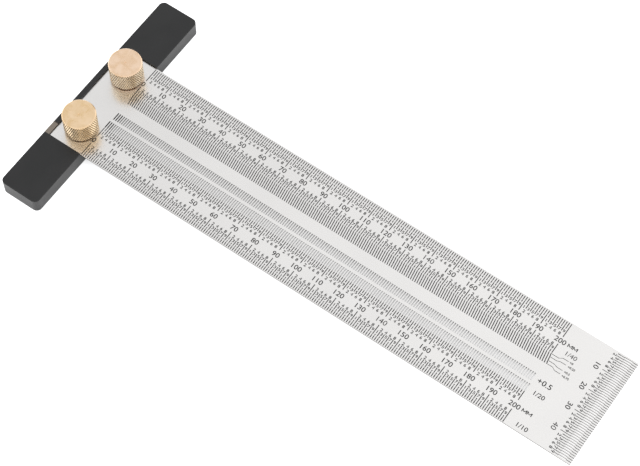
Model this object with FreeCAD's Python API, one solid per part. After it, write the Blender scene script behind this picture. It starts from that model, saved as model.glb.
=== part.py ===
import FreeCAD, Part
import os

# A hook rule of the T type: a slotted steel blade clamped in the pocket of a
# black head bar by two knurled brass thumb screws. Sizes are in millimetres.
# X runs along the blade from the head's working face, Y across it, Z up.
# The origin is the centre of the working face below the blade.

# Blade
blade_width = 50.0
blade_thickness = 0.5
scale_length = 200.0
end_margin = 29.5
seat_depth = 16.0
blade_corner_cut = 0.3

# Slots that a pencil lead goes through
slot_pitch = 1.0
slot_width = 0.5
half_row_offset = 0.5
half_row_from_centre = 0.8
half_row_length = 3.65
whole_row_from_centre = 5.8
whole_row_length = 3.55
end_row_from_tip = 2.2
end_row_length = 3.5

# Head
head_wing = 28.1
head_corner_radius = 2.4
head_edge_chamfer = 0.3
fence_depth = 6.1
top_step = 0.9
lip_width = 2.3
pocket_side_clearance = 0.1
pocket_end_clearance = 0.1

# Shallow flat milled across the lip at one corner of the pocket
lip_flat_length = 6.0
lip_flat_depth = 0.3

# Thumb screws
screw_from_edge = 10.0
screw_from_face = 7.5
stud_radius = 2.45
stud_end_gap = 0.6
stud_chamfer = 0.5
collar_radius = 5.0
collar_height = 1.0
knob_radius = 7.0
knob_height = 9.8
knob_chamfer = 0.4
thread_clearance = 0.05
blade_hole_clearance = 0.25
hole_chamfer = 0.4

# Levels and places that follow from the sizes above
head_bottom = -fence_depth / 2
pocket_floor = head_bottom + fence_depth
blade_top = pocket_floor + blade_thickness
head_top = blade_top + top_step
pocket_half_width = blade_width / 2 + pocket_side_clearance
pocket_back = -(seat_depth + pocket_end_clearance)
head_back = pocket_back - lip_width
head_half_length = pocket_half_width + head_wing
blade_tip = scale_length + end_margin
screw_x = -screw_from_face
cut_over = lip_width


def box(x0, x1, y0, y1, z0, z1):
    """Block between two corners."""
    return Part.makeBox(x1 - x0, y1 - y0, z1 - z0, FreeCAD.Vector(x0, y0, z0))


def flat_wire(points, z):
    """Closed wire through points of one level."""
    corners = [FreeCAD.Vector(x, y, z) for x, y in points]
    return Part.makePolygon(corners + corners[:1])


def slot_wire(x_mid, y_mid, along_x, along_y):
    """Outline of one square-ended slot at the blade's underside."""
    dx = along_x / 2
    dy = along_y / 2
    corners = [
        (x_mid - dx, y_mid - dy),
        (x_mid + dx, y_mid - dy),
        (x_mid + dx, y_mid + dy),
        (x_mid - dx, y_mid + dy),
    ]
    return flat_wire(corners, pocket_floor)


def cross_row(first, last, from_centre, length):
    """Slots across the blade, one each pitch, on the -Y side of its centre line."""
    y_mid = -(from_centre + length / 2)
    count = int(round((last - first) / slot_pitch)) + 1
    places = [first + slot_pitch * i for i in range(count)]
    return [slot_wire(x, y_mid, slot_width, length) for x in places]


def end_row():
    """Slots along the blade beside its tip, one each pitch across the width."""
    x_mid = blade_tip - end_row_from_tip - end_row_length / 2
    count = int(round(blade_width / slot_pitch)) - 1
    places = [blade_width / 2 - slot_pitch * (i + 1) for i in range(count)]
    return [slot_wire(x_mid, y, end_row_length, slot_width) for y in places]


def screw_places():
    """Name and Y of each thumb screw, one beside each long edge of the blade."""
    reach = blade_width / 2 - screw_from_edge
    return [("left", reach), ("right", -reach)]


def circle_wire(x, y, radius, z):
    """Closed circle of one level."""
    return Part.Wire(Part.makeCircle(radius, FreeCAD.Vector(x, y, z)))


def make_blade():
    """Thin steel plate with two rows of slots along it and one row at its tip."""
    half = blade_width / 2
    cut = blade_corner_cut
    outline = flat_wire(
        [
            (-seat_depth, -half),
            (blade_tip - cut, -half),
            (blade_tip, -half + cut),
            (blade_tip, half - cut),
            (blade_tip - cut, half),
            (-seat_depth, half),
        ],
        pocket_floor,
    )
    half_first = half_row_offset
    half_last = scale_length - slot_pitch + half_row_offset
    holes = cross_row(half_first, half_last, half_row_from_centre, half_row_length)
    holes += cross_row(0.0, scale_length, whole_row_from_centre, whole_row_length)
    holes += end_row()
    for _, y in screw_places():
        holes.append(circle_wire(screw_x, y, stud_radius + blade_hole_clearance, pocket_floor))
    face = Part.makeFace([outline] + holes, "Part::FaceMakerBullseye")
    return face.extrude(FreeCAD.Vector(0, 0, blade_thickness))


def rounded_bar():
    """Head bar with round upright corners and small chamfers top and bottom."""
    bar = box(head_back, 0.0, -head_half_length, head_half_length, head_bottom, head_top)
    upright = [e for e in bar.Edges if abs(e.tangentAt(e.FirstParameter).z) > 0.9]
    bar = bar.makeFillet(head_corner_radius, upright)
    rims = []
    for edge in bar.Edges:
        box_of_edge = edge.BoundBox
        if box_of_edge.ZLength < head_edge_chamfer / 2:
            rims.append(edge)
    return bar.makeChamfer(head_edge_chamfer, rims)


def screw_hole(y):
    """Threaded hole under the pocket, with a chamfer at its lower mouth."""
    radius = stud_radius + thread_clearance
    base = FreeCAD.Vector(screw_x, y, head_bottom)
    bore = Part.makeCylinder(radius, fence_depth, base)
    mouth = Part.makeCone(radius + hole_chamfer, radius, hole_chamfer, base)
    return bore.fuse(mouth)


def make_head():
    """Head bar with the blade's pocket, open at the working face and closed by a lip."""
    head = rounded_bar()
    pocket = box(
        pocket_back,
        cut_over,
        -pocket_half_width,
        pocket_half_width,
        pocket_floor,
        head_top + cut_over,
    )
    flat = box(
        head_back - cut_over,
        pocket_back + cut_over,
        -pocket_half_width,
        -pocket_half_width + lip_flat_length,
        head_top - lip_flat_depth,
        head_top + cut_over,
    )
    head = head.cut([pocket, flat])
    return head.cut([screw_hole(y) for _, y in screw_places()])


def make_thumb_screw(y):
    """One turned piece: chamfered knob, narrower collar below it, and its stud."""
    knob_bottom = blade_top + collar_height
    knob_top = knob_bottom + knob_height
    stud_end = head_bottom + stud_end_gap
    profile = [
        (0.0, stud_end),
        (stud_radius - stud_chamfer, stud_end),
        (stud_radius, stud_end + stud_chamfer),
        (stud_radius, blade_top),
        (collar_radius, blade_top),
        (collar_radius, knob_bottom),
        (knob_radius - knob_chamfer, knob_bottom),
        (knob_radius, knob_bottom + knob_chamfer),
        (knob_radius, knob_top - knob_chamfer),
        (knob_radius - knob_chamfer, knob_top),
        (0.0, knob_top),
    ]
    corners = [FreeCAD.Vector(screw_x + r, y, z) for r, z in profile]
    section = Part.Face(Part.makePolygon(corners + corners[:1]))
    return section.revolve(FreeCAD.Vector(screw_x, y, 0), FreeCAD.Vector(0, 0, 1), 360)


def write(name, shape):
    """One STEP file for one piece."""
    shape.exportStep(os.path.join("parts", name + ".step"))


os.makedirs("parts", exist_ok=True)
write("head", make_head())
write("rule_blade", make_blade())
for side, place in screw_places():
    write("thumb_screw_" + side, make_thumb_screw(place))
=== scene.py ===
import math
import bpy
import numpy as np
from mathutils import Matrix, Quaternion, Vector
from mathutils.geometry import delaunay_2d_cdt


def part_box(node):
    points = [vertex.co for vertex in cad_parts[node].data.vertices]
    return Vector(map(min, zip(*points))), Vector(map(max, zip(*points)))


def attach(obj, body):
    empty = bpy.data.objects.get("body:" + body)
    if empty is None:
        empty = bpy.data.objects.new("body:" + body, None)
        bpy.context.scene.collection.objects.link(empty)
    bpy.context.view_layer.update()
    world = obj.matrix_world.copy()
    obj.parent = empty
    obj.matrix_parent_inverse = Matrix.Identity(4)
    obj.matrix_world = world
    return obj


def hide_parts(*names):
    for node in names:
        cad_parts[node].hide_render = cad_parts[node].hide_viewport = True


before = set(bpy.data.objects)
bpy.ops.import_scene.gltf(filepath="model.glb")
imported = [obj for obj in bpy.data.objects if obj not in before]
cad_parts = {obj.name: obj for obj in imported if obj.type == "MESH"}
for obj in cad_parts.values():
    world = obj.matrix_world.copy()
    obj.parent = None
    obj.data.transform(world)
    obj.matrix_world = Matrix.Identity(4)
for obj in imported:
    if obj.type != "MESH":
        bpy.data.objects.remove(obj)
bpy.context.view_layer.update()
MM = 0.001


# Head bar: one piece of aluminium with a shallow pocket milled across it for the blade and two
# threaded holes under the pocket. It is bead-blasted and anodised black; a flat milled later
# across the lip behind the pocket shows the bare metal.
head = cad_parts["head"]
head_low, head_high = [np.round(np.array(corner) / MM, 3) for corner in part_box("head")]
blade_low, blade_high = [np.round(np.array(corner) / MM, 3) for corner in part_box("rule_blade")]
anodised_black = (0.005, 0.0053, 0.006, 1)
# The paler black is a painted highlight on the chamfers, and also the tone of the handling marks.
anodised_sheen_and_wear = (0.013, 0.013, 0.0135, 1)
bare_aluminium = (0.27, 0.235, 0.20, 1)
pocket_clearance = 0.1
bare_flat_length = 6.0
bare_flat_depth = 0.3
bare_margin = 0.03


def feed(tree, made, inputs):
    """Sets or links the inputs of a node: inputs maps a socket's name or number to a plain value
    or to the output that feeds it. Gives the node's outputs."""
    for socket, value in inputs.items():
        if isinstance(value, bpy.types.NodeSocket):
            tree.links.new(value, made.inputs[socket])
        else:
            made.inputs[socket].default_value = value
    return made.outputs


def put(tree, kind, inputs, **settings):
    """Adds one shader node, with settings for its own options, and gives its outputs."""
    made = tree.nodes.new("ShaderNode" + kind)
    for option, value in settings.items():
        setattr(made, option, value)
    return feed(tree, made, inputs)


def maths(tree, operation, *values):
    """Result of one Math node on two or three values or outputs."""
    return put(tree, "Math", dict(enumerate(values)), operation=operation)[0]


def stretch(tree, value, low, high):
    """Carries a value from the range 0 to 1 over to the range low to high."""
    return put(tree, "MapRange", {"Value": value, "To Min": low, "To Max": high})["Result"]


def mix_colours(tree, share, first, second):
    """Blend of two colours, where a share of 1 is the second colour alone."""
    return put(tree, "Mix", {0: share, 6: first, 7: second}, data_type="RGBA")[2]


def effect(name, inputs, output):
    """Empty shader node group with float inputs, a Vector input and one float output.
    Gives the group, its inputs inside the group and its output node."""
    group = bpy.data.node_groups.new(name, "ShaderNodeTree")
    group.interface.new_socket("Vector", in_out="INPUT", socket_type="NodeSocketVector")
    for label, value in inputs.items():
        socket = group.interface.new_socket(label, in_out="INPUT", socket_type="NodeSocketFloat")
        socket.default_value = value
    group.interface.new_socket(output, in_out="OUTPUT", socket_type="NodeSocketFloat")
    return group, group.nodes.new("NodeGroupInput").outputs, group.nodes.new("NodeGroupOutput")


def blasted_grain():
    """Fine grain of a blasted or satin surface: two noises, the second four times coarser."""
    group, given, result = effect("Blasted grain", {"Scale": 3000.0}, "Grain")
    coarse = maths(group, "MULTIPLY", given["Scale"], 0.25)
    fine_noise = put(group, "TexNoise", {"Vector": given["Vector"], "Scale": given["Scale"]})[0]
    coarse_noise = put(group, "TexNoise", {"Vector": given["Vector"], "Scale": coarse})[0]
    total = maths(group, "ADD", fine_noise, coarse_noise)
    half = maths(group, "MULTIPLY", total, 0.5)
    group.links.new(half, result.inputs["Grain"])
    return group


def handling_marks():
    """Broad soft patches left by handling: one warped noise, with its middle range spread out."""
    group, given, result = effect("Handling marks", {"Scale": 60.0, "Warp": 0.6}, "Marks")
    noise = put(
        group,
        "TexNoise",
        {"Vector": given["Vector"], "Scale": given["Scale"], "Distortion": given["Warp"]},
    )[0]
    spread = put(group, "MapRange", {"Value": noise, "From Min": 0.35, "From Max": 0.65})["Result"]
    group.links.new(spread, result.inputs["Marks"])
    return group


grain_group = blasted_grain()
marks_group = handling_marks()


def use_effect(tree, group, inputs):
    """Places a node group and gives its one output."""
    made = tree.nodes.new("ShaderNodeGroup")
    made.node_tree = group
    return feed(tree, made, inputs)[0]


def new_finish(name):
    """New empty material; gives the material, its node tree and its Object coordinates."""
    material = bpy.data.materials.new(name)
    material.use_nodes = True
    tree = material.node_tree
    tree.nodes.clear()
    return material, tree, put(tree, "TexCoord", {})["Object"]


def finish_with(tree, inputs):
    """Puts the Principled shader with its inputs at the end of a material."""
    shader = put(tree, "BsdfPrincipled", inputs)["BSDF"]
    put(tree, "OutputMaterial", {"Surface": shader})


def black_anodised_finish():
    """Black anodised aluminium with blasted grain, handling marks and a bare milled flat; its
    chamfers are painted paler as a painted edge highlight. A chamfer is where the upward part
    of the normal is neither 0 nor 1."""
    material, tree, place = new_finish("Black anodised aluminium")
    grain = use_effect(tree, grain_group, {"Vector": place, "Scale": 4200.0})
    marks = use_effect(tree, marks_group, {"Vector": place, "Scale": 55.0})
    normal = put(tree, "TexCoord", {})["Normal"]
    upward = maths(tree, "ABSOLUTE", put(tree, "SeparateXYZ", {0: normal})["Z"])
    chamfer = maths(tree, "COMPARE", upward, 0.7, 0.25)
    axes = put(tree, "SeparateXYZ", {0: place})
    flat_start = blade_low[1] - pocket_clearance
    flat_end = flat_start + bare_flat_length
    flat_level = head_high[2] - bare_flat_depth
    behind = maths(tree, "LESS_THAN", axes["X"], (blade_low[0] - bare_margin) * MM)
    after = maths(tree, "GREATER_THAN", axes["Y"], (flat_start - bare_margin) * MM)
    before = maths(tree, "LESS_THAN", axes["Y"], (flat_end + bare_margin) * MM)
    above = maths(tree, "GREATER_THAN", axes["Z"], (flat_level - bare_margin) * MM)
    along = maths(tree, "MULTIPLY", after, before)
    bare = maths(tree, "MULTIPLY", maths(tree, "MULTIPLY", behind, above), along)
    # Chamfers are painted paler as a painted edge highlight, mixed with the handling marks.
    sheen_and_wear = maths(tree, "MULTIPLY", maths(tree, "ADD", chamfer, marks), 0.5)
    black = mix_colours(tree, sheen_and_wear, anodised_black, anodised_sheen_and_wear)
    colour = mix_colours(tree, bare, black, bare_aluminium)
    rough = maths(tree, "ADD", maths(tree, "MULTIPLY", grain, 0.5), sheen_and_wear)
    roughness = stretch(tree, rough, 0.36, 0.52)
    bump = put(tree, "Bump", {"Strength": 0.5, "Distance": 0.00003, "Height": grain})["Normal"]
    finish_with(
        tree,
        {"Base Color": colour, "Metallic": bare, "Roughness": roughness, "Normal": bump},
    )
    return material


head.data.materials.clear()
head.data.materials.append(black_anodised_finish())


# Blade: stainless steel strip 0.5 mm thick. Its slots and its rows of fine holes, which guide a
# pencil lead, are cut right through; then the face gets a satin finish. It lies in the head's
# pocket, where both thumb screws pass through it.
slot_width = 0.5
half_row_offset = 0.5
half_slots = (25.8, 29.45)
whole_slots = (30.8, 34.35)
end_slot_from_tip = 2.2
end_slot_length = 3.5
corner_cut = 0.3
lead_hole_radius = 0.25
lead_hole_sides = 8
edge_hole_rows = (2.35, 48.0)
quarter_hole_rows = (15.6, 17.0, 18.7, 20.1)
quarter_step = 0.25
screw_hole_radius = 2.7
screw_hole_sides = 48
screw_low, screw_high = [np.round(np.array(corner) / MM, 3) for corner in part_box("thumb_screw_left")]
screw_x, screw_y, _ = (screw_low + screw_high) / 2
steel_light = (0.84, 0.83, 0.82, 1)
steel_dark = (0.79, 0.78, 0.77, 1)
# Painted shade: the near-black of every upright wall of the blade.
wall_shade_steel = (0.10, 0.09, 0.08, 1)
half_width = blade_high[1]
last_millimetre = 200
millimetres = np.arange(last_millimetre + 1)


def across(from_edge):
    """Y of a place that is measured from the blade's +Y edge."""
    return half_width - np.asarray(from_edge, float)


def pairs(x, y):
    """Points from x and y, either of which may be one value for all."""
    return np.stack(np.broadcast_arrays(np.asarray(x, float), np.asarray(y, float)), axis=-1)


def rectangle(length_x, length_y):
    """Corners of a rectangle centred on zero, counterclockwise."""
    return np.array([[-1, -1], [1, -1], [1, 1], [-1, 1]]) * np.array([length_x, length_y]) / 2


def round_hole(radius, sides):
    """Corners of a regular polygon: at each even angle, the radius times its cosine and sine."""
    angle = np.arange(sides) * 2 * np.pi / sides
    return radius * pairs(np.cos(angle), np.sin(angle))


def copies(outline, centres):
    """One closed loop round each centre: the centre plus the outline's points."""
    return list(centres[:, None, :] + outline[None, :, :])


def blade_loops():
    """The blade's outline first, and then every opening in it."""
    low_x, low_y, _ = blade_low
    tip, high_y, _ = blade_high
    cut = corner_cut
    outline = np.array(
        [
            [low_x, low_y],
            [tip - cut, low_y],
            [tip, low_y + cut],
            [tip, high_y - cut],
            [tip - cut, high_y],
            [low_x, high_y],
        ]
    )
    half_y = across(half_slots)
    whole_y = across(whole_slots)
    halves = pairs(millimetres[:-1] + half_row_offset, half_y.mean())
    wholes = pairs(millimetres, whole_y.mean())
    loops = [outline]
    loops += copies(rectangle(slot_width, half_y[0] - half_y[1]), halves)
    loops += copies(rectangle(slot_width, whole_y[0] - whole_y[1]), wholes)
    end_x = tip - end_slot_from_tip - end_slot_length / 2
    ends = pairs(end_x, across(np.arange(1, 2 * half_width)))
    loops += copies(rectangle(end_slot_length, slot_width), ends)
    lead_hole = round_hole(lead_hole_radius, lead_hole_sides)
    for row in edge_hole_rows:
        loops += copies(lead_hole, pairs(millimetres, across(row)))
    for step, row in enumerate(quarter_hole_rows):
        loops += copies(lead_hole, pairs(millimetres + step * quarter_step, across(row)))
    screws = pairs(screw_x, np.array([screw_y, -screw_y]))
    loops += copies(round_hole(screw_hole_radius, screw_hole_sides), screws)
    return loops


def triangulated(points, faces):
    """Constrained Delaunay triangles that fill flat faces, which may lie over each other. Gives
    their points, their corners and how many of the faces each one lies in."""
    tolerance = 1e-5
    flat = [Vector(point) for point in points.tolist()]
    found, _, triangles, _, _, owners = delaunay_2d_cdt(flat, [], faces, 1, tolerance)
    layers = np.array([len(owner) for owner in owners])
    return np.array([list(point) for point in found]), np.array(triangles), layers


def filled(loops):
    """Triangles between an outline and the openings in it. A triangle inside an opening lies in
    two loops, and is left out."""
    points = np.concatenate(loops)
    ends = np.cumsum([len(loop) for loop in loops])
    faces = [list(range(end - len(loop), end)) for loop, end in zip(loops, ends)]
    found, triangles, layers = triangulated(points, faces)
    return found, triangles[layers == 1]


def counterclockwise(points, triangles):
    """Turns round each triangle whose signed area is negative."""
    first, second, third = [points[triangles[:, k]] for k in range(3)]
    side, other = second - first, third - first
    area = side[:, 0] * other[:, 1] - side[:, 1] * other[:, 0]
    return np.where(area[:, None] < 0, triangles[:, ::-1], triangles)


def slab(points, triangles, low, high):
    """Closed slab over flat triangles: a copy of them at the height high, a turned-over copy at
    the height low, and a wall under each edge that only one triangle has."""
    triangles = counterclockwise(points, triangles)
    count = len(points)
    edges = np.concatenate([triangles[:, [0, 1]], triangles[:, [1, 2]], triangles[:, [2, 0]]])
    key = edges.min(axis=1) * count + edges.max(axis=1)
    _, place, uses = np.unique(key, return_inverse=True, return_counts=True)
    start, end = edges[uses[place] == 1].T
    walls = np.stack([start, end, end + count, start + count], axis=1)
    bottom = np.column_stack([points, np.full(count, low)])
    top = np.column_stack([points, np.full(count, high)])
    return np.concatenate([bottom, top]), [triangles[:, ::-1], triangles + count, walls]


def new_piece(name, points, face_sets, body):
    """Mesh object from points in millimetres and sets of faces, riding on a CAD body."""
    mesh = bpy.data.meshes.new(name)
    faces = [face for face_set in face_sets for face in face_set.tolist()]
    mesh.from_pydata((points * MM).tolist(), [], faces)
    mesh.update()
    piece = bpy.data.objects.new(name, mesh)
    bpy.context.scene.collection.objects.link(piece)
    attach(piece, body)
    return piece


def satin_steel_finish():
    """Satin stainless steel: a nearly even grey with very fine grain and faint broad marks on
    both faces. The upright walls of the cuts and edges are painted near-black as painted shade."""
    material, tree, place = new_finish("Satin stainless steel")
    grain = use_effect(tree, grain_group, {"Vector": place, "Scale": 5200.0})
    marks = use_effect(tree, marks_group, {"Vector": place, "Scale": 34.0})
    normal = put(tree, "TexCoord", {})["Normal"]
    level = maths(tree, "ABSOLUTE", put(tree, "SeparateXYZ", {0: normal})["Z"])
    tone = maths(tree, "MULTIPLY", maths(tree, "ADD", grain, marks), 0.5)
    face = mix_colours(tree, tone, steel_dark, steel_light)
    # Upright walls take the painted shade.
    colour = mix_colours(tree, level, wall_shade_steel, face)
    roughness = stretch(tree, tone, 0.22, 0.29)
    bump = put(tree, "Bump", {"Strength": 0.25, "Distance": 0.00001, "Height": grain})["Normal"]
    finish_with(
        tree,
        {"Base Color": colour, "Metallic": 1.0, "Roughness": roughness, "Normal": bump},
    )
    return material


blade_points, blade_faces = slab(*filled(blade_loops()), blade_low[2], blade_high[2])
blade = new_piece("slotted_blade", blade_points, blade_faces, "square")
blade.data.materials.append(satin_steel_finish())
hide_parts("rule_blade")


# Scale lines: black marks etched into the steel, a line for every millimetre of each scale. At
# a fine hole the line stops and goes on beyond it. The quarter-millimetre scale leans over four
# rows of holes, which are named by thin leader lines at its far end.
line_width = 0.36
slant_width = 0.40
end_line_width = 0.24
leader_width = 0.2
ink_height = 0.015
ink_black = (0.012, 0.012, 0.013, 1)
ink_grey = (0.035, 0.034, 0.034, 1)
upper_ticks = (0.6, 3.55, 5.15, 7.15)
quarter_ticks = (15.2, 14.05, 12.3, 10.6)
middle_ticks = (34.5, 35.9, 37.25, 39.0)
lower_ticks = (49.75, 47.25, 45.5, 43.4)
end_ticks = (223.8, 222.3, 220.8, 219.3)
end_tail = (227.3, 229.45)
leader_start = 0.35
leader_turns = (203.4, 204.75, 207.2)
leader_drops = (-0.9, -0.5, 0.5, 0.8)


def tick_ends(counts, odd, even, decade):
    """Far end of each line: one for odd counts, one for even counts and one for whole tens."""
    return np.where(counts % 10 == 0, decade, np.where(counts % 2 == 0, even, odd))


def strokes(x0, y0, x1, y1):
    """Table of straight strokes with one row each: start x and y, end x and y."""
    columns = np.broadcast_arrays(*[np.asarray(value, float) for value in (x0, y0, x1, y1)])
    return np.stack(columns, axis=-1).reshape(-1, 4)


def bars(lines, width, along_y):
    """Four corners for each stroke, with its width measured along X, or along Y if along_y."""
    side = np.array([0, width / 2]) if along_y else np.array([width / 2, 0])
    start, end = lines[:, :2], lines[:, 2:]
    return np.stack([start - side, start + side, end + side, end - side], axis=1)


def quads_as_triangles(quads):
    """Points and two triangles for each four-cornered mark."""
    first = np.arange(len(quads))[:, None] * 4
    triangles = np.concatenate([first + [0, 1, 2], first + [0, 2, 3]])
    return quads.reshape(-1, 2), triangles


def all_lines():
    """Every scale line as a four-cornered mark."""
    upper, quarter, middle, lower = upper_ticks, quarter_ticks, middle_ticks, lower_ticks
    near, far = edge_hole_rows
    n = millimetres
    gap = lead_hole_radius
    upright = [
        strokes(n, across(upper[0]), n, across(near - gap)),
        strokes(n, across(near + gap), n, across(tick_ends(n, *upper[1:]))),
        strokes(n, across(tick_ends(n, *quarter[1:])), n, across(quarter[0])),
        strokes(n, across(middle[0]), n, across(tick_ends(n, *middle[1:]))),
        strokes(n, across(tick_ends(n, *lower[1:])), n, across(far - gap)),
        strokes(n, across(far + gap), n, across(lower[0])),
    ]
    slanted = []
    rows = quarter_hole_rows
    for step in range(len(rows) - 1):
        start, end = rows[step] + gap, rows[step + 1] - gap
        lean = quarter_step / (rows[step + 1] - rows[step])
        x0 = n + step * quarter_step + lean * gap
        x1 = n + (step + 1) * quarter_step - lean * gap
        slanted.append(strokes(x0, across(start), x1, across(end)))
    counts = np.arange(1, 2 * half_width)
    level = across(counts)
    ends = [
        strokes(tick_ends(counts, *end_ticks[1:]), level, end_ticks[0], level),
        strokes(end_tail[0], level, end_tail[1], level),
    ]
    leaders = []
    for step, (row, drop) in enumerate(zip(rows, leader_drops)):
        first = last_millimetre + step * quarter_step + leader_start
        turn, down, last = leader_turns
        leaders.append(strokes(first, across(row), turn, across(row)))
        leaders.append(strokes(turn, across(row), down, across(row + drop)))
        leaders.append(strokes(down, across(row + drop), last, across(row + drop)))
    return np.concatenate(
        [
            bars(np.concatenate(upright), line_width, False),
            bars(np.concatenate(slanted), slant_width, False),
            bars(np.concatenate(ends), end_line_width, True),
            bars(np.concatenate(leaders), leader_width, True),
        ]
    )


def etched_black_finish():
    """Etched black marking: uneven dark grey, dull, with a fine grain."""
    material, tree, place = new_finish("Etched black marking")
    grain = use_effect(tree, grain_group, {"Vector": place, "Scale": 6000.0})
    colour = mix_colours(tree, grain, ink_black, ink_grey)
    bump = put(tree, "Bump", {"Strength": 0.3, "Distance": 0.00001, "Height": grain})["Normal"]
    roughness = stretch(tree, grain, 0.45, 0.65)
    finish_with(
        tree,
        {"Base Color": colour, "Roughness": roughness, "Specular IOR Level": 0.2, "Normal": bump},
    )
    return material


marking_black = etched_black_finish()
blade_top = blade_high[2]
line_points, line_faces = slab(*quads_as_triangles(all_lines()), blade_top, blade_top + ink_height)
scale_lines = new_piece("scale_lines", line_points, line_faces, "square")
scale_lines.data.materials.append(marking_black)


# Scale numerals: etched with the lines in the same black. Small digits count the millimetres
# between the tens, larger numerals stand at every ten, and plain fractions name the scales.
digit_height = 1.4
numeral_height = 2.15
digit_stretch = 1.12
digit_weight = 0.02
numeral_weight = 0.01
digit_smoothness = 2
numeral_smoothness = 4
label_smoothness = 3
upper_digit_rows = (4.75, 6.45)
quarter_digit_rows = (13.05, 11.6)
middle_digit_rows = (37.0, 38.6)
lower_digit_rows = (46.15, 44.6)
numeral_rows = (8.95, 41.45)
end_digit_columns = (221.5, 220.0)
end_numeral_column = 216.75
clockwise = -math.pi / 2
labels = (
    ("1/40", 206.95, 12.25, 1.9, 0.01),
    ("+0.5", 204.75, 27.8, 2.3, 0.01),
    ("1/20", 205.65, 33.05, 1.9, 0.01),
    ("1/10", 207.2, 47.5, 1.95, 0.01),
    ("+0", 208.5, 14.7, 0.95, 0.03),
    ("+0.25", 209.6, 16.6, 0.95, 0.03),
    ("+0.5", 209.2, 19.2, 0.95, 0.03),
    ("+0.75", 209.6, 21.1, 0.95, 0.03),
)
bold_height = 1.45
bold_width = 1.2
bold_stroke = 0.25
bold_dip = -0.3
bold_places = (204.35, 206.6)


def gathered(shapes):
    """Several flat shapes as one set of points and triangles."""
    starts = np.cumsum([0] + [len(points) for points, _ in shapes[:-1]])
    points = np.concatenate([points for points, _ in shapes])
    triangles = np.concatenate([part + start for (_, part), start in zip(shapes, starts)])
    return points, triangles


def lettering(words, weight, smoothness):
    """Flat triangles of a word in the plain built-in face, one unit high and centred on zero.
    The weight widens the outline, except in a word with a 4, which would close up."""
    curve = bpy.data.curves.new("lettering", "FONT")
    curve.body = words
    curve.fill_mode = "FRONT"
    curve.resolution_u = smoothness
    curve.offset = 0 if "4" in words else weight
    holder = bpy.data.objects.new("lettering", curve)
    bpy.context.scene.collection.objects.link(holder)
    bpy.context.view_layer.update()
    mesh = holder.to_mesh()
    mesh.calc_loop_triangles()
    points = np.array([vertex.co[:2] for vertex in mesh.vertices])
    triangles = np.array([triangle.vertices[:] for triangle in mesh.loop_triangles])
    holder.to_mesh_clear()
    bpy.data.objects.remove(holder)
    bpy.data.curves.remove(curve)
    low, high = points.min(axis=0), points.max(axis=0)
    size = high[1] - low[1]
    return (points - (low + high) / 2) / size * [digit_stretch, 1], triangles


def stamped(shape, centres, height, turn=0.0):
    """Copies of a flat shape: scaled to a height, turned, and moved to each centre."""
    points, triangles = shape
    cosine, sine = math.cos(turn), math.sin(turn)
    turned = points @ np.array([[cosine, sine], [-sine, cosine]]) * height
    placed = (centres[:, None, :] + turned[None, :, :]).reshape(-1, 2)
    steps = np.arange(len(centres))[:, None, None] * len(points)
    return placed, (triangles[None, :, :] + steps).reshape(-1, 3)


def bold_m():
    """Bold capital M one unit high, joined from two upright and two slanting strokes."""
    side = np.array([-bold_width / 2, bold_width / 2])
    upright = strokes(side, -0.5, side, 0.5)
    slanting = strokes(side, 0.5, 0, bold_dip)
    quads = bars(np.concatenate([upright, slanting]), bold_stroke, False)
    corners = np.arange(4 * len(quads)).reshape(-1, 4)
    points, triangles, _ = triangulated(quads.reshape(-1, 2), corners.tolist())
    return points, triangles


def all_numerals():
    """Small digits, numerals at the tens and the labels, as flat shapes. Each label gives its
    words, X, distance from the +Y edge, height and weight."""
    places = [(x, across(row)) for x in bold_places for row in numeral_rows]
    shapes = [stamped(bold_m(), np.array(places), bold_height)]
    tens = np.arange(0, last_millimetre, 10)
    end_tens = np.arange(0, 2 * half_width, 10)
    for digit in range(1, 10):
        row = 0 if digit % 2 else 1
        shape = lettering(str(digit), digit_weight, digit_smoothness)
        for rows in (upper_digit_rows, quarter_digit_rows, middle_digit_rows, lower_digit_rows):
            shapes.append(stamped(shape, pairs(tens + digit, across(rows[row])), digit_height))
        end_centres = pairs(end_digit_columns[row], across(end_tens + digit))
        shapes.append(stamped(shape, end_centres, digit_height, clockwise))
    for ten in range(0, last_millimetre + 1, 10):
        shape = lettering(str(ten), numeral_weight, numeral_smoothness)
        shapes.append(stamped(shape, pairs(ten, across(numeral_rows)), numeral_height))
        if 0 < ten < 2 * half_width:
            centre = pairs([end_numeral_column], across(ten))
            shapes.append(stamped(shape, centre, numeral_height, clockwise))
    for words, x, from_edge, height, weight in labels:
        shape = lettering(words, weight, label_smoothness)
        shapes.append(stamped(shape, pairs([x], across(from_edge)), height))
    return gathered(shapes)


numeral_points, numeral_faces = slab(*all_numerals(), blade_top, blade_top + ink_height)
scale_numerals = new_piece("scale_numerals", numeral_points, numeral_faces, "square")
scale_numerals.data.materials.append(marking_black)


# Thumb screws: each is turned from one brass bar, with a diamond-knurled knob, a narrower
# collar that presses on the blade, and a threaded stud that screws into the head.
knob_radius = (screw_high[0] - screw_low[0]) / 2
knob_top = screw_high[2]
collar_height = 1.0
knob_bottom = blade_top + collar_height
rim_chamfer = 0.3
foot_chamfer = 0.2
shoulder_step = 0.1
centre_mark_radius = 0.35
centre_mark_floor = 0.14
centre_mark_depth = 0.2
first_ring = 0.8
top_rings = 6
top_rim = 0.5
collar_radius = 5.0
stud_radius = 2.45
stud_end = screw_low[2]
stud_chamfer = 0.5
plain_neck = 0.4
thread_pitch = 0.8
thread_depth = 0.45
thread_steps = 8
knurl_starts = 48
knurl_angle = math.radians(25)
knurl_depth = 0.6
knurl_bluntness = 3.0
knurl_steps = 8
columns = knurl_starts * knurl_steps
# Painted shade: the near-black that fills the knurl's grooves.
brass_groove_shade = (0.06, 0.03, 0.01, 1)
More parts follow.
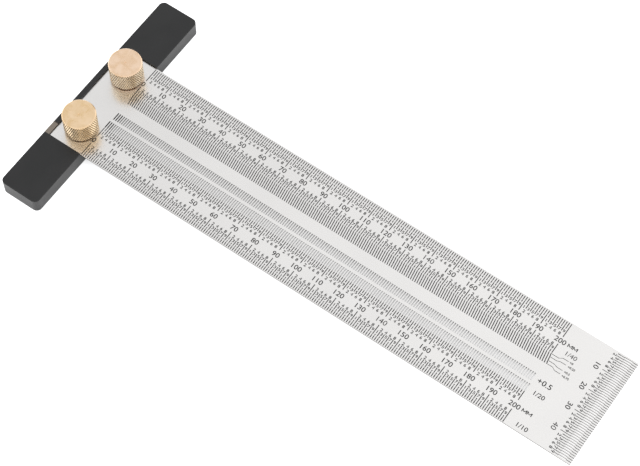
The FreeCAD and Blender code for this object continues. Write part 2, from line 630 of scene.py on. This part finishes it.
# Each brass gives a bright and a warm turned tone, and the knurl flanks' paler colour, which is a
# painted highlight.
brass_tones = {
    "left": ((0.98, 0.77, 0.60, 1), (0.80, 0.55, 0.34, 1), (1.0, 0.86, 0.65, 1)),
    "right": ((0.96, 0.75, 0.53, 1), (0.78, 0.54, 0.28, 1), (0.98, 0.78, 0.52, 1)),
}


def saw(turns):
    """Triangle wave: 0 at whole numbers and 1 halfway between them."""
    return 2 * np.abs(turns - np.round(turns))


def screw_profile():
    """The profile from the top's centre to the stud's end: radius, height, share of knurl and
    share of thread in each row."""
    knurl_row = 2 * np.pi * knob_radius / knurl_starts / math.tan(knurl_angle) / knurl_steps
    knurl_top = knob_top - rim_chamfer
    knurl_bottom = knob_bottom + foot_chamfer
    knurl_z = np.arange(knurl_top, knurl_bottom, -knurl_row)
    shoulder = knob_radius - shoulder_step
    thread_top = blade_top - plain_neck
    thread_z = np.arange(thread_top, stud_end + stud_chamfer, -thread_pitch / thread_steps)
    edge = shoulder - rim_chamfer
    root = knob_radius - knurl_depth
    foot = root - foot_chamfer
    top_r = np.linspace(first_ring, edge - top_rim, top_rings)
    rows = [(centre_mark_floor, knob_top - centre_mark_depth, 0, 0)]
    rows += [(centre_mark_radius, knob_top, 0, 0)]
    rows += [(r, knob_top, 0, 0) for r in top_r]
    rows += [(edge, knob_top, 0, 0), (shoulder, knurl_top, 0, 0)]
    rows += [(knob_radius, z, 1, 0) for z in knurl_z[1:]]
    rows += [(root, knurl_bottom, 0, 0), (foot, knob_bottom, 0, 0)]
    rows += [(collar_radius, knob_bottom, 0, 0), (collar_radius, blade_top, 0, 0)]
    rows += [(stud_radius, blade_top, 0, 0)]
    rows += [(stud_radius, z, 0, 1) for z in thread_z]
    rows += [(stud_radius, stud_end + stud_chamfer, 0, 0)]
    rows += [(stud_radius - stud_chamfer, stud_end, 0, 0)]
    return np.array(rows).T


def thumb_screw_surface(centre_y):
    """The profile carried round the screw's axis. In the knurl the radius sinks into two sets
    of crossing helical grooves, and small pyramids stand between them, whose tops the bluntness
    cuts flat. In the thread it sinks into one helical groove."""
    radius, height, knurl, thread = [row[:, None] for row in screw_profile()]
    angle = np.arange(columns)[None, :] * 2 * np.pi / columns
    lean = height * math.tan(knurl_angle) / knob_radius
    one_way = saw(knurl_starts * (angle + lean) / (2 * np.pi))
    other_way = saw(knurl_starts * (angle - lean) / (2 * np.pi))
    pyramid = np.clip(knurl_bluntness * np.minimum(one_way, other_way), 0, 1)
    groove = knurl * (1 - pyramid)
    crest = saw(height / thread_pitch - angle / (2 * np.pi))
    reach = radius - knurl_depth * groove - thread_depth * thread * (1 - crest)
    x = screw_x + reach * np.cos(angle)
    y = centre_y + reach * np.sin(angle)
    z = height + 0 * angle
    grid = np.stack([x, y, z], axis=-1).reshape(-1, 3)
    ends = [[screw_x, centre_y, height[0, 0]], [screw_x, centre_y, stud_end]]
    return np.concatenate([grid, ends]), groove, len(radius)


def revolved_faces(rows):
    """Quads between neighbouring rows and columns, and a fan of triangles at either end."""
    here = np.arange(columns)
    after = (here + 1) % columns
    first = np.arange(rows - 1)[:, None] * columns
    second = first + columns
    quads = np.stack([first + here, second + here, second + after, first + after], axis=-1)
    top, bottom = rows * columns, rows * columns + 1
    last = (rows - 1) * columns
    upper_fan = np.stack([np.full(columns, top), here, after], axis=-1)
    lower_fan = np.stack([np.full(columns, bottom), last + after, last + here], axis=-1)
    return [quads.reshape(-1, 4), upper_fan, lower_fan]


def turned_brass_finish(side):
    """Turned brass: fine rings round the axis, which follow the height and the distance from
    the axis that the mesh carries. The knurl's flanks are pressed smooth, and painted paler as a
    painted highlight; its grooves are painted dark as painted shade. The left screw is of
    slightly redder brass than the right one."""
    material, tree, place = new_finish("Turned brass " + side)
    brass_bright, brass_warm, brass_flank_highlight = brass_tones[side]
    groove = put(tree, "Attribute", {}, attribute_name="groove")["Fac"]
    ring = put(tree, "Attribute", {}, attribute_name="ring")["Fac"]
    rings = put(tree, "TexNoise", {"W": ring, "Scale": 5000.0}, noise_dimensions="1D")[0]
    marks = use_effect(tree, marks_group, {"Vector": place, "Scale": 260.0})
    tone = maths(tree, "MULTIPLY", maths(tree, "ADD", rings, marks), 0.5)
    knurled = maths(tree, "GREATER_THAN", groove, 0.001)
    turned = mix_colours(tree, tone, brass_warm, brass_bright)
    # The knurl's flanks are painted paler as a painted highlight.
    with_flank_highlight = mix_colours(tree, knurled, turned, brass_flank_highlight)
    # The knurl's grooves are painted dark as painted shade.
    colour = mix_colours(tree, maths(tree, "POWER", groove, 1.5), with_flank_highlight, brass_groove_shade)
    smoother = maths(tree, "MULTIPLY", knurled, 0.08)
    roughness = maths(tree, "SUBTRACT", stretch(tree, tone, 0.22, 0.36), smoother)
    bump = put(tree, "Bump", {"Strength": 0.3, "Distance": 0.00001, "Height": rings})["Normal"]
    finish_with(
        tree,
        {"Base Color": colour, "Metallic": 1.0, "Roughness": roughness, "Normal": bump},
    )
    return material


def point_values(mesh, name, values):
    """Stores one number for each point of a mesh."""
    layer = mesh.attributes.new(name, "FLOAT", "POINT")
    layer.data.foreach_set("value", np.asarray(values, np.float32))


sharp_angle = math.radians(28)
for side, centre_y in (("left", screw_y), ("right", -screw_y)):
    points, groove, rows = thumb_screw_surface(centre_y)
    screw = new_piece("brass_screw_" + side, points, revolved_faces(rows), "screw_" + side)
    from_axis = np.hypot(points[:, 0] - screw_x, points[:, 1] - centre_y)
    point_values(screw.data, "groove", np.concatenate([groove.ravel(), [0, 0]]))
    point_values(screw.data, "ring", (from_axis + points[:, 2]) * MM)
    screw.data.polygons.foreach_set("use_smooth", np.ones(len(screw.data.polygons), bool))
    screw.data.set_sharp_from_angle(angle=sharp_angle)
    screw.data.materials.append(turned_brass_finish(side))
    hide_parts("thumb_screw_" + side)


# Table: a plain white board. The square rests on it as a real one does, on the lower front
# edge of the head and on the tip of the blade, so the board leans by 1.5 degrees to meet both.
table_size = 3000.0
table_white = (0.86, 0.86, 0.865, 1)
table_grain = (0.82, 0.82, 0.825, 1)
table_glow_strength = 2.2
shade_reach = 0.1
shade_falloff = 0.5
shade_rays = 16


def table_height(x):
    """Straight line through the head's lower front edge and the blade's tip."""
    slope = (blade_low[2] - head_low[2]) / (blade_high[0] - head_high[0])
    return head_low[2] + slope * (x - head_high[0])


def table_finish():
    """Matt white with a faint mottle. The camera, gloss and glass see it as a glow brighter than
    white, with painted shade: its brightness follows the root of how far each spot is open to the
    tent, so that only the deep shade under the square stays grey."""
    material, tree, place = new_finish("White table")
    marks = use_effect(tree, marks_group, {"Vector": place, "Scale": 8.0})
    colour = mix_colours(tree, marks, table_grain, table_white)
    rays = put(tree, "LightPath", {})
    seen = maths(tree, "MAXIMUM", rays["Is Camera Ray"], rays["Is Glossy Ray"])
    seen = maths(tree, "MAXIMUM", seen, rays["Is Transmission Ray"])
    # Painted shade: the glow is dimmed by how open each spot is, not by the lamps' shadows.
    openness = put(tree, "AmbientOcclusion", {"Distance": shade_reach}, samples=shade_rays)["AO"]
    shade = maths(tree, "POWER", openness, shade_falloff)
    glow_strength = maths(tree, "MULTIPLY", shade, table_glow_strength)
    shown = put(tree, "Emission", {"Color": colour, "Strength": glow_strength})["Emission"]
    board = put(tree, "BsdfDiffuse", {"Color": colour})["BSDF"]
    surface = put(tree, "MixShader", {0: seen, 1: board, 2: shown})["Shader"]
    put(tree, "OutputMaterial", {"Surface": surface})
    return material


corners = rectangle(table_size, table_size)
table_mesh = bpy.data.meshes.new("table")
table_points = np.column_stack([corners, table_height(corners[:, 0])]) * MM
table_mesh.from_pydata(table_points.tolist(), [], [[0, 1, 2, 3]])
table = bpy.data.objects.new("table", table_mesh)
bpy.context.scene.collection.objects.link(table)
table_mesh.materials.append(table_finish())


# Light: a white tent all round, with a broad soft box overhead on the side of the blade's tip,
# and one weak soft lamp high behind the head, which draws the knobs' shadows on the blade.
tent_white = (1, 1, 1, 1)
tent_horizon = 1.0
tent_dim = 0.84
tent_bright = 1.10
tent_dim_from = -0.45
tent_bright_from = -0.12
overhead_from = 0.45
lamp_strength = 0.4
lamp_spread = math.radians(50)
lamp_from = Vector((-0.35, 0.45, 1.0))


def ramp(tree, value, start, end, low, high):
    """Straight ramp from low to high while a value goes from start to end, level beyond them."""
    sockets = {"Value": value, "From Min": start, "From Max": end, "To Min": low, "To Max": high}
    return put(tree, "MapRange", sockets)["Result"]


def light_tent():
    """World that lights the object: the brightness rises from the horizon to the overhead part,
    and there along X from the dim to the bright side. The camera sees the tent plain white."""
    world = bpy.data.worlds.new("Light tent")
    world.use_nodes = True
    tree = world.node_tree
    tree.nodes.clear()
    direction = put(tree, "SeparateXYZ", {0: put(tree, "TexCoord", {})["Generated"]})
    overhead = ramp(tree, direction["X"], tent_dim_from, tent_bright_from, tent_dim, tent_bright)
    height = ramp(tree, direction["Z"], 0.0, overhead_from, 0.0, 1.0)
    rise = maths(tree, "MULTIPLY", maths(tree, "SUBTRACT", overhead, tent_horizon), height)
    brightness = maths(tree, "ADD", rise, tent_horizon)
    strength = maths(tree, "MAXIMUM", brightness, put(tree, "LightPath", {})["Is Camera Ray"])
    background = put(tree, "Background", {"Color": tent_white, "Strength": strength})[0]
    put(tree, "OutputWorld", {"Surface": background})
    return world


bpy.context.scene.world = light_tent()
lamp_data = bpy.data.lights.new("soft_lamp", "SUN")
lamp_data.energy = lamp_strength
lamp_data.angle = lamp_spread
lamp = bpy.data.objects.new("soft_lamp", lamp_data)
lamp.rotation_mode = "QUATERNION"
lamp.rotation_quaternion = lamp_from.to_track_quat("Z", "Y")
lamp.visible_glossy = False
bpy.context.scene.collection.objects.link(lamp)


# Camera: it looks down from beyond the blade's right edge, with the head at the upper left of
# the picture, as the photograph was taken.
camera_place = Vector((0.3043, -0.2962, 0.67365))
camera_aim = Vector((0.0986, 0.0012, 0.00355))
camera_roll = math.radians(0.54)
camera_lens = 109.4
camera_data = bpy.data.cameras.new("camera")
camera_data.lens = camera_lens
camera_data.sensor_width = 36.0
camera = bpy.data.objects.new("camera", camera_data)
camera.location = camera_place
camera.rotation_mode = "QUATERNION"
towards = (camera_aim - camera_place).to_track_quat("-Z", "Y")
camera.rotation_quaternion = towards @ Quaternion((0, 0, 1), camera_roll)
bpy.context.scene.collection.objects.link(camera)
bpy.context.scene.camera = camera
bpy.context.scene.view_settings.view_transform = "Standard"
